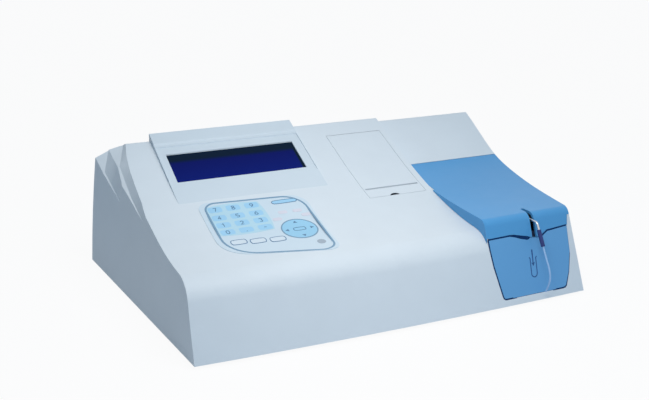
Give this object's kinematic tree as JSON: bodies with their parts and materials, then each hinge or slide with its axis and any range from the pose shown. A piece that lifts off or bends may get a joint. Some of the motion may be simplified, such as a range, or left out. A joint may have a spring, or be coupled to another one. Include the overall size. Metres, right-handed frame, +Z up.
{
  "type": "semi-automatic chemistry analyzer",
  "caption": "Benchtop wedge-shaped analyzer with a tilted display, membrane keypad, strip printer under a flap and a hinged sample compartment lid with a sipper.",
  "frame": {"origin": "centre of the footprint's box, on the surface that the feet stand on", "axes": "+X to the right of someone who faces the keypad, +Y to the rear, +Z up"},
  "size_m": [0.4402, 0.2869, 0.1322],
  "materials": {
    "shell_white": "satin moulded plastic",
    "bezel_white": "satin moulded plastic",
    "lid_blue": "satin moulded plastic",
    "screen_blue": "polished window",
    "keypad_film": "matt polyester film",
    "dark_plastic": "moulded",
    "inner_plastic": "moulded",
    "steel": "brushed",
    "zinc_sheet": "coated sheet steel",
    "circuit_green": "solder mask",
    "rubber_black": "moulded",
    "sleeve_dark": "silicone sleeve",
    "clear_tube": "translucent fluoropolymer",
    "paper": "thermal paper"
  },
  "bodies": {
    "base": {"housing": "shell_white", "display_bezel": "bezel_white", "display_window": "screen_blue", "lcd_module": "dark_plastic", "display_board": "circuit_green", "keypad_overlay": "keypad_film", "lid_hinge_pins": "steel", "front_panel": "lid_blue", "compartment_tray": "inner_plastic", "sipper_grommet": "dark_plastic", "sipper_pipe": "steel", "sipper_sleeve": "sleeve_dark", "sipper_tube": "clear_tube", "door_hinge_pins": "steel", "printer_frame": "dark_plastic", "paper_roll": "paper", "base_plate": "zinc_sheet", "foot_1": "rubber_black", "foot_2": "rubber_black", "foot_3": "rubber_black", "foot_4": "rubber_black", "housing_screws": "steel", "main_board": "circuit_green", "standoffs": "steel", "power_supply": "zinc_sheet", "rear_panel": "zinc_sheet", "mains_inlet": "dark_plastic", "power_switch": "dark_plastic", "serial_connector": "steel", "waste_fitting": "inner_plastic", "fan_frame": "dark_plastic"},
    "lid": {"compartment_lid": "lid_blue"},
    "printer_door": {"printer_door": "shell_white", "tear_bar": "steel"},
    "platen": {"platen_roller": "rubber_black"},
    "fan": {"fan_rotor": "dark_plastic"},
    "rocker": {"switch_rocker": "dark_plastic"},
    "fuse_drawer": {"fuse_drawer": "dark_plastic"}
  },
  "joints": [
    {"name": "lid_hinge", "type": "hinge", "parent": "base", "child": "lid", "pos_m": [0.15, 0.04102, 0.08685], "axis": [-1, 0, 0], "range_deg": [0, 75]},
    {"name": "printer_door_hinge", "type": "hinge", "parent": "base", "child": "printer_door", "pos_m": [0.056, 0.08962, 0.11366], "axis": [-1, 0, 0], "range_deg": [0, 95]},
    {"name": "platen_spin", "type": "hinge", "parent": "base", "child": "platen", "pos_m": [0.056, 0.00852, 0.074], "axis": [1, 0, 0], "continuous": true},
    {"name": "fan_spin", "type": "hinge", "parent": "base", "child": "fan", "pos_m": [0.02, 0.12228, 0.05273], "axis": [0, 0.9945, 0.1045], "continuous": true},
    {"name": "rocker_tilt", "type": "hinge", "parent": "base", "child": "rocker", "pos_m": [-0.107, 0.11971, 0.04843], "axis": [1, 0, 0], "range_deg": [0, 20]},
    {"name": "fuse_drawer_slide", "type": "slide", "parent": "base", "child": "fuse_drawer", "axis": [0, 0.9945, 0.1045], "range_m": [0, 0.018]}
  ]
}
